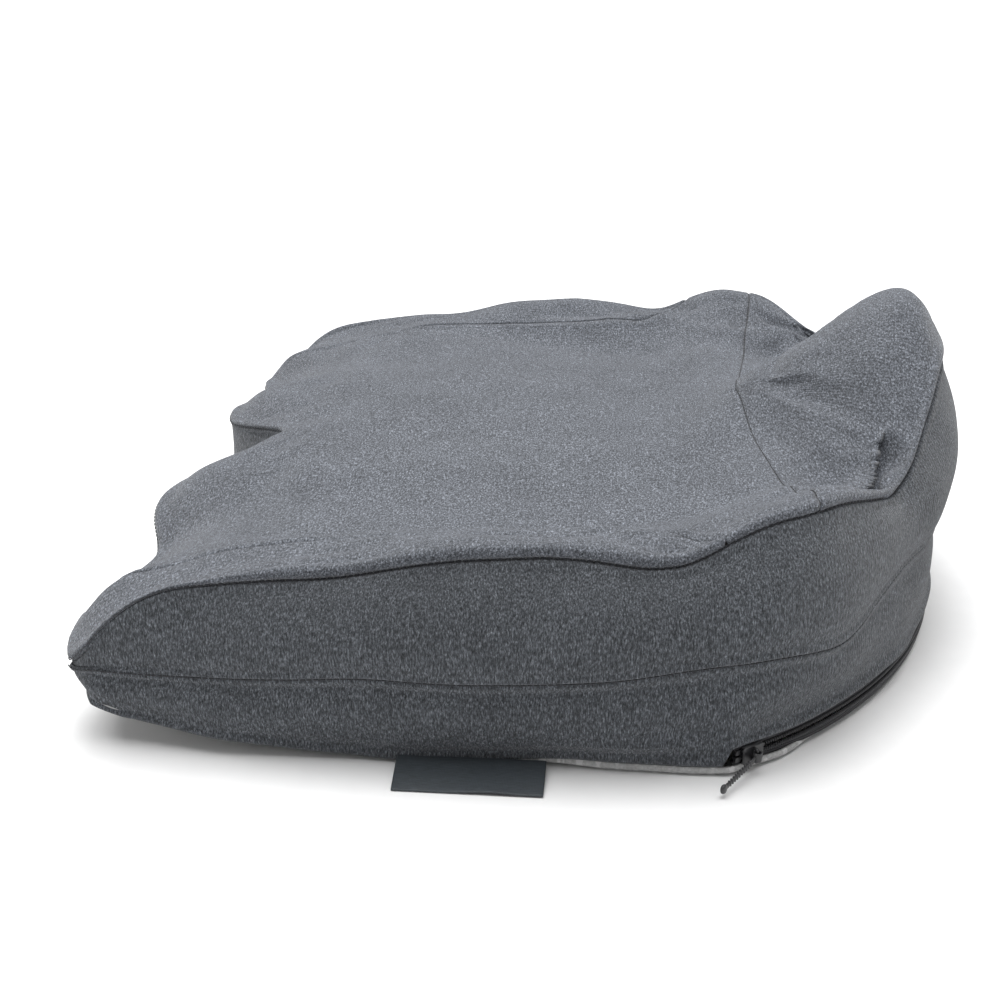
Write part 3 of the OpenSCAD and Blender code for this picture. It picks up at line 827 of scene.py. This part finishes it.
# %% Slider
def soft_block(half, middle, power=0.3, waist=0.0):
    """A superellipsoid: each coordinate is a half size times a sine or cosine to a low power."""
    v, u = np.meshgrid(np.linspace(-np.pi / 2, np.pi / 2, 17)[1:-1],
                       np.linspace(0, 2 * np.pi, 33)[:-1], indexing="ij")
    x = bent(np.cos(v), power) * bent(np.cos(u), power)
    y = bent(np.cos(v), power) * bent(np.sin(u), power)
    z = bent(np.sin(v), power) + 0 * u
    points = np.stack([x, y, z], -1) * half
    points[..., 2] *= 1 - waist * bell(points[..., 1] / half[1] - 0.35, 0.5)
    rings = [points.reshape(-1, 3), [[0, 0, -half[2]], [0, 0, half[2]]]]
    count = v.size
    index = np.arange(count).reshape(v.shape)
    return np.concatenate(rings) + middle, [
        grid_faces(*v.shape, True), cap_faces(index[0], count, True),
        cap_faces(index[-1], count + 1, False)]


def at_slider(points):
    """From the slider's own frame, with X outwards and Y along the zip, to the cushion's."""
    x, y, z = points[..., 0], points[..., 1], points[..., 2]
    return np.stack([x * cos(slider_turn) - y * sin(slider_turn),
                     rear_c + x * sin(slider_turn) + y * cos(slider_turn), zip_z + z], -1)


def slider_piece(name, parts, body, node):
    points, faces = joined(parts)
    made = make_mesh(name, at_slider(points), faces)
    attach(made, body)
    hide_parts(node)
    return made


half_z = (slider_high[2] - slider_low[2]) / 2
plates = [soft_block((0.6, 5.5, half_z), (tape_r + side * 2.1, 0, 0), 0.28, 0.16)
          for side in (-1, 1)]
rails = [soft_block((0.5, 5.2, 0.6), (tape_r + side * 1.15, 0, edge * (half_z - 0.65)), 0.35)
         for side in (-1, 1) for edge in (-1, 1)]
blade = soft_block((1.9, 1.7, 0.17), (tape_r, -3.6, 0), 0.5)
slider = slider_piece("slider", plates + rails + [blade], "zip_slider", "slider_body")

corner = np.linspace(0, np.pi / 2, 7)
foot, top, leg = tape_r + 2.5, pivot_r, 3.05
bend_up = np.stack([top - 0.7 + 0.7 * np.sin(corner), 0 * corner,
                    leg - 0.7 + 0.7 * np.cos(corner)], -1)
wire_path = np.concatenate([[[foot, 0, leg], [foot + 1.5, 0, leg]], bend_up,
                            bend_up[::-1] * [1, 1, -1], [[foot + 1.5, 0, -leg], [foot, 0, -leg]]])
bridge = slider_piece("pull_bridge", [tube(wire_path, 0.62, 10, np.array([[0.0, 1.0, 0.0]]))],
                      "zip_slider", "slider_bridge")

# %% [markdown]
# The pull. A ring round the bridge carries a slim ribbed tab with a round end, so that fingers
# can grip it. The tab is a profile along its length: its width and thickness are functions of
# the distance from the ring.


# %% Pull
def ring_eye(inner, outer, half_height):
    """A round-edged ring: a rounded box profile turned about Z."""
    a = np.linspace(0, 2 * np.pi, 17)[:-1]
    turn = np.linspace(0, 360, 29)[:-1]
    r = (inner + outer) / 2 + (outer - inner) / 2 * bent(np.cos(a), 0.5)
    points = at(turn[:, None], r[None], half_height * bent(np.sin(a), 0.5)[None])
    index = np.arange(points.shape[0] * len(a)).reshape(-1, len(a))
    up = np.roll(index, -1, 0)
    faces = np.stack([index, up, np.roll(up, -1, 1), np.roll(index, -1, 1)], -1)
    return points.reshape(-1, 3), [faces.reshape(-1, 4)]


def tab(length, droop=12.0):
    """Rounded sections along X: ribs are ripples in their size, the end is a flattened ball."""
    x = np.linspace(1.5, length, 110)
    ribs = np.clip(np.sin((x - 5) * 2 * np.pi / 1.6) * 1.6, -1, 1)
    ribs = ribs * step(4.5, 5, x) * step(length - 5, length - 6, x)
    ball = np.sqrt(np.clip(1 - ((x - (length - 2.1)) / 2.1) ** 2, 0, 1))
    wide = np.maximum((1.2 + 0.25 * ribs) * step(length, length - 2, x), 2.1 * ball)
    thick = np.maximum((0.62 + 0.2 * ribs) * step(length, length - 2, x), 0.95 * ball)
    a = np.linspace(0, 2 * np.pi, 21)[:-1]
    y, z = thick[:, None] * bent(np.cos(a), 0.6), wide[:, None] * bent(np.sin(a), 0.6)
    x = x[:, None] + 0 * y
    points = np.stack([x * cos(droop) + z * sin(droop), y, z * cos(droop) - x * sin(droop)], -1)
    last = 109 * 20
    return points.reshape(-1, 3), [grid_faces(110, 20, True), np.arange(20)[None, ::-1],
                                   np.arange(last, last + 20)[None]]


pull_turn, pull_length = 75.0, 26.0
points, faces = joined([ring_eye(1.12, 2.0, 2.2), tab(pull_length)])
x, y = points[:, 0], points[:, 1]
turned = np.stack([pivot_r + x * cos(-pull_turn) - y * sin(-pull_turn),
                   x * sin(-pull_turn) + y * cos(-pull_turn), points[:, 2]], -1)
pull = slider_piece("zip_pull_tab", [(turned, faces)], "zip_pull", "pull_tab")
print("pull is %.1f mm long" % pull_length)

# %% [markdown]
# The label. A strip of satin ribbon is folded in two and sewn into the bottom seam. It bends a
# little along its length and is rounded at the fold. It carries no lettering.

# %% Label
label_root = np.array(joints["label_flap"]["pos_m"]) / MM
label_low, label_high = frame_box("label")
label_len = label_high[1] - label_low[1]
label_drop = np.degrees(np.arcsin((label_root[2] - 0.85) / 21.0))
a = np.linspace(0, 2 * np.pi, 121)[:-1]
out = 10.3 + 10.7 * bent(np.cos(a), 0.12)
skin_z = 0.42 * bent(np.sin(a), 0.25)
v = np.linspace(-0.5, 0.5, 65)[:, None]
curl = 0.5 * np.sin(v * 5 + 0.6) * (out / 21) ** 2 + 0.25 * np.sin(v * 13) * (out / 21)
x = label_root[0] + out * cos(label_drop) + 0 * v
y = label_root[1] + v * (label_len - 0.6 * (out / 21) ** 2)
z = label_root[2] - out * sin(label_drop) + skin_z + np.maximum(curl, -0.25)
points = np.stack(np.broadcast_arrays(x, y, z), -1)
label = make_mesh("side_label_ribbon", points, [
    grid_faces(65, 120, True), np.arange(120)[None, ::-1], np.arange(64 * 120, 65 * 120)[None]])
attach(label, "side_label")
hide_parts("label")
print("label %.0f mm long, tilted %.1f degrees" % (label_len, label_drop))

# %% [markdown]
# Materials. All of them are worked out from position, so nothing is painted or loaded. A small
# helper adds a node, links its inputs, and sets its values.


# %% Material helpers
def add(tree, kind, links=(), values=(), **settings):
    """A new node; links and values are pairs of an input's name or number and what goes in."""
    made = tree.nodes.new("ShaderNode" + kind)
    for key, value in settings.items():
        setattr(made, key, value)
    for key, value in values:
        made.inputs[key].default_value = value
    for key, socket in links:
        tree.links.new(socket, made.inputs[key])
    return made


def new_material(name, roughness, **values):
    """A material, its node tree and its shader, with constant values on the shader's sockets."""
    made = bpy.data.materials.new(name)
    made.use_nodes = True
    shader = made.node_tree.nodes["Principled BSDF"]
    shader.inputs["Roughness"].default_value = roughness
    for key, value in values.items():
        shader.inputs[key.replace("_", " ")].default_value = value
    return made, made.node_tree, shader


def place_of(tree, scale, uv=False):
    """Position in metres, times a scale for each axis."""
    source = (add(tree, "UVMap", uv_map="weave").outputs[0] if uv
              else add(tree, "TexCoord").outputs["Object"])
    return add(tree, "Mapping", [("Vector", source)], [("Scale", scale)]).outputs[0]


def noise(tree, scale, detail=2.0, rough=0.5, uv=False):
    """Smooth noise with scale cells in a metre along each axis."""
    return add(tree, "TexNoise", [("Vector", place_of(tree, scale, uv))],
               [("Scale", 1.0), ("Detail", detail), ("Roughness", rough)]).outputs[0]


def ramp(tree, factor, stops):
    """Colours by factor; stops are pairs of a place and a grey or a colour."""
    made = add(tree, "ValToRGB", [(0, factor)])
    spots = made.color_ramp.elements
    while len(spots) < len(stops):
        spots.new(0.5)
    for spot, (position, tone) in zip(spots, stops):
        spot.position = position
        spot.color = (*(tone if isinstance(tone, tuple) else (tone,) * 3), 1)
    return made.outputs[0]


def combine(tree, kind, factor, a, b):
    """Two colours put together; factor is a number or a socket."""
    made = add(tree, "Mix", [(6, a), (7, b)], data_type="RGBA", blend_type=kind)
    if isinstance(factor, float):
        made.inputs[0].default_value = factor
    else:
        tree.links.new(factor, made.inputs[0])
    return made.outputs[2]


def finish_with(tree, shader, color, height=None, strength=0.5, distance=0.0004):
    """Links a colour, and a relief if there is one, to the shader."""
    tree.links.new(color, shader.inputs["Base Color"])
    if height is not None:
        bump = add(tree, "Bump", [("Height", height)],
                   [("Strength", strength), ("Distance", distance)])
        tree.links.new(bump.outputs[0], shader.inputs["Normal"])


def grained(name, roughness, fineness, dark, pale, strength, distance, **values):
    """A plain finish: one fine noise gives its tone, from dark to pale, and its relief."""
    made, tree, shader = new_material(name, roughness, **values)
    grain = noise(tree, (fineness,) * 3)
    finish_with(tree, shader, ramp(tree, grain, [(0.3, dark), (0.7, pale)]), grain,
                strength, distance)
    return made


# %% [markdown]
# The melange knit. Its yarn is spun from dark and pale fibres, so the cloth is a mottle of short
# streaks that follow the knit's columns. Stretched noise gives the streaks, a finer noise the
# single pale fibres, and a slow one the change of tone over the panel. Rows of loops add relief.


# %% Melange knit
def melange(name, streak, tone, contrast=1.0):
    """streak is how many noise cells fit in a metre along each axis; tone is the middle grey."""
    made, tree, shader = new_material(name, 0.92, Sheen_Weight=0.22, Sheen_Roughness=0.45,
                                      Specular_IOR_Level=0.25)
    r, g, b = tone
    dark, pale = 1 - 0.72 * contrast, 1 + 1.6 * contrast

    def shade(k):
        return (r * k, g * k, b * k)

    yarn = ramp(tree, noise(tree, streak, 3.0, 0.62),
                [(0.32, shade(dark)), (0.46, shade(0.72)), (0.56, shade(1.2)),
                 (0.70, shade(pale))])
    fibre = ramp(tree, noise(tree, [k * 2.1 for k in streak], 2.0, 0.7),
                 [(0.36, 0.5), (0.50, 1.0), (0.62, 1.0), (0.72, 2.1)])
    slow = ramp(tree, noise(tree, (26, 26, 26), 2.0), [(0.3, 0.92), (0.7, 1.08)])
    color = combine(tree, "MULTIPLY", 1.0, combine(tree, "MULTIPLY", 1.0, yarn, fibre), slow)
    loops = add(tree, "TexWave", [("Vector", place_of(tree, (1, 1, 1), True))],
                [("Scale", 150.0), ("Distortion", 1.2), ("Detail", 1.0), ("Detail Scale", 400.0)])
    relief = combine(tree, "ADD", 0.35, noise(tree, [k * 1.6 for k in streak], 3.0, 0.7),
                     loops.outputs[0])
    finish_with(tree, shader, color, relief, 0.55, 0.0006)
    return made


# The band copy has a darker middle grey than the top copy: painted shade for the upright faces,
# which get less of the overhead light.
knit_band_painted_shade = melange("melange_knit_upright_painted_shade", (1500, 1500, 430), (0.086, 0.093, 0.104))
knit_top = melange("melange_knit_level", (620, 1250, 1250), (0.116, 0.125, 0.143), 0.95)

# %% [markdown]
# The fabrics of the base, the tape and the label. The base has a fine weave with rows of small
# grip dots, the tape a twill, and the label's ribbon the long floats of satin.

# %% Woven fabrics
base_fabric, tree, shader = new_material("pale_base_fabric", 0.9, Specular_IOR_Level=0.3)
weave = combine(tree, "MULTIPLY", 1.0,
                add(tree, "TexWave", [("Vector", place_of(tree, (1, 0, 0)))],
                    [("Scale", 230.0)]).outputs[0],
                add(tree, "TexWave", [("Vector", place_of(tree, (0, 1, 0)))],
                    [("Scale", 230.0)], bands_direction="Y").outputs[0])
dots = add(tree, "TexVoronoi", [("Vector", place_of(tree, (125, 125, 0)))],
           [("Scale", 1.0), ("Randomness", 0.0)]).outputs["Distance"]
dot = ramp(tree, dots, [(0.17, 1.0), (0.21, 0.0)])
cloth_tone = ramp(tree, noise(tree, (700, 700, 700)), [(0.3, 0.36), (0.7, 0.50)])
dot_tone = ramp(tree, dots, [(0, 0.60), (1, 0.62)])
finish_with(tree, shader, combine(tree, "MIX", dot, cloth_tone, dot_tone),
            combine(tree, "ADD", 0.8, weave, dot), 0.4, 0.0004)

zip_tape, tree, shader = new_material("black_woven_tape", 0.8, Sheen_Weight=0.1)
twill = add(tree, "TexWave", [("Vector", place_of(tree, (1, 1, 1.4)))],
            [("Scale", 380.0), ("Distortion", 0.6)], bands_direction="DIAGONAL").outputs[0]
tape_tone = ramp(tree, twill, [(0.1, (0.010, 0.010, 0.012)), (0.9, (0.032, 0.032, 0.036))])
finish_with(tree, shader, tape_tone, twill, 0.6, 0.0003)

ribbon, tree, shader = new_material("slate_satin_ribbon", 0.5, Sheen_Weight=0.15)
satin = noise(tree, (2600, 260, 2600))
rib = add(tree, "TexWave", [("Vector", place_of(tree, (0, 1, 0)))], [("Scale", 500.0)],
          bands_direction="Y").outputs[0]
satin_tone = ramp(tree, satin, [(0.3, (0.018, 0.024, 0.030)), (0.7, (0.036, 0.046, 0.055))])
finish_with(tree, shader, satin_tone, combine(tree, "ADD", 0.5, satin, rib), 0.35, 0.0002)
print("woven:", [cloth.name for cloth in (base_fabric, zip_tape, ribbon)])

# %% [markdown]
# Thread, nylon, the slider's enamel, which is worn at a few small spots, and open foam.

# %% Thread, zip and foam
thread = grained("dark_thread", 0.75, 1500, (0.014, 0.015, 0.018), (0.045, 0.048, 0.055),
                 0.4, 0.0002, Sheen_Weight=0.1)
nylon = grained("black_nylon", 0.38, 900, (0.022, 0.022, 0.024), (0.045, 0.045, 0.050),
                0.15, 0.0001)

enamel, tree, shader = new_material("black_satin_enamel", 0.36, Coat_Weight=0.25,
                                    Coat_Roughness=0.3)
peel = noise(tree, (450, 450, 450), 3.0)
worn = ramp(tree, noise(tree, (1400, 1400, 1400), 4.0, 0.7), [(0.68, 0.0), (0.78, 1.0)])
coat = ramp(tree, peel, [(0.3, (0.016, 0.016, 0.018)), (0.7, (0.030, 0.030, 0.033))])
bare = ramp(tree, peel, [(0.3, (0.10, 0.10, 0.11)), (0.7, (0.16, 0.16, 0.17))])
finish_with(tree, shader, combine(tree, "MIX", worn, coat, bare), peel, 0.2, 0.0001)

open_foam, tree, shader = new_material("open_cell_foam", 0.85, Subsurface_Weight=0.1)
cells = add(tree, "TexVoronoi", [("Vector", place_of(tree, (900, 900, 900)))],
            [("Scale", 1.0)]).outputs["Distance"]
foam_tone = ramp(tree, cells, [(0.1, (0.72, 0.66, 0.52)), (0.6, (0.88, 0.84, 0.72))])
finish_with(tree, shader, foam_tone, cells, 0.6, 0.0008)
print("others:", [other.name for other in (thread, nylon, enamel, open_foam)])

# %% [markdown]
# Each material goes on its pieces. The tapes and the stops are the frame's own nodes: they are
# plain enough to be kept as they are, so they only get a material.


# %% Materials on the pieces
def clothe(material, *objects):
    for some in objects:
        some.data.materials.clear()
        some.data.materials.append(material)


nodes = frame["nodes"]
clothe(knit_band_painted_shade, *bands, front_band)
clothe(knit_top, seat_knit, back_knit, *strips)
clothe(base_fabric, base_cloth)
clothe(open_foam, foam)
clothe(thread, *seams)
clothe(zip_tape, nodes["zip_tape_upper"], nodes["zip_tape_lower"])
clothe(nylon, *coils)
clothe(enamel, slider, bridge, pull, nodes["zip_top_stops"], nodes["zip_bottom_stop"])
clothe(ribbon, label)
print("materials:", len(bpy.data.materials))

# %% [markdown]
# The studio. A wide pale floor, one big soft light overhead that makes the top brighter than the
# sides, a wide soft sun from almost straight above, and a dim white world. The camera stands beside
# the cushion and looks down.

# %% Floor, lights and camera
u, v = np.meshgrid(np.linspace(-1, 1, 41), np.linspace(-1, 1, 41))
floor = make_mesh("studio_floor", np.stack([u, v, 0 * u], -1) * 9000 + [0, 0, -0.05],
                  [grid_faces(41, 41, False)])
paper, tree, shader = new_material("pale_paper", 0.9, Specular_IOR_Level=0.1)
fleck = noise(tree, (60, 60, 60), 2.0)
finish_with(tree, shader, ramp(tree, fleck, [(0.3, 0.86), (0.7, 0.88)]))
clothe(paper, floor)


def soft_light(name, place, target, size, power):
    """An area light at a place in metres, turned towards a target."""
    data = bpy.data.lights.new(name, "AREA")
    data.shape, data.size, data.energy = "DISK", size, power
    made = bpy.data.objects.new(name, data)
    bpy.context.scene.collection.objects.link(made)
    made.location = place
    made.rotation_euler = (Vector(target) - Vector(place)).to_track_quat("-Z", "Y").to_euler()
    return made


soft_light("overhead", (-0.35, -0.1, 1.6), (0, 0, 0.05), 1.3, 14)
sky = bpy.data.objects.new("sky", bpy.data.lights.new("sky", "SUN"))
sky.data.energy, sky.data.angle = 3.6, np.radians(70)
sky.rotation_euler = (0.10, -0.22, 0)
bpy.context.scene.collection.objects.link(sky)
world = bpy.data.worlds.new("studio")
bpy.context.scene.world = world
world.use_nodes = True
world.node_tree.nodes["Background"].inputs[0].default_value = (1, 1, 1, 1)
world.node_tree.nodes["Background"].inputs[1].default_value = 0.30
bpy.context.scene.view_settings.view_transform = "Standard"

camera_turn, camera_tilt = 4.7, 22.2   # degrees off the -X direction, and down
across = Vector((-sin(camera_turn), cos(camera_turn), 0))
level = Vector((-cos(camera_turn), -sin(camera_turn), 0))
look = level * cos(camera_tilt) - Vector((0, 0, sin(camera_tilt)))
basis = Matrix((across, across.cross(look), -look)).transposed()
camera = bpy.data.objects.new("camera", bpy.data.cameras.new("camera"))
bpy.context.scene.collection.objects.link(camera)
camera.data.lens, camera.data.sensor_width = 50.4, 36.0
camera.location = (0.727, 0.016, 0.332)
camera.rotation_euler = basis.to_euler()
bpy.context.scene.camera = camera
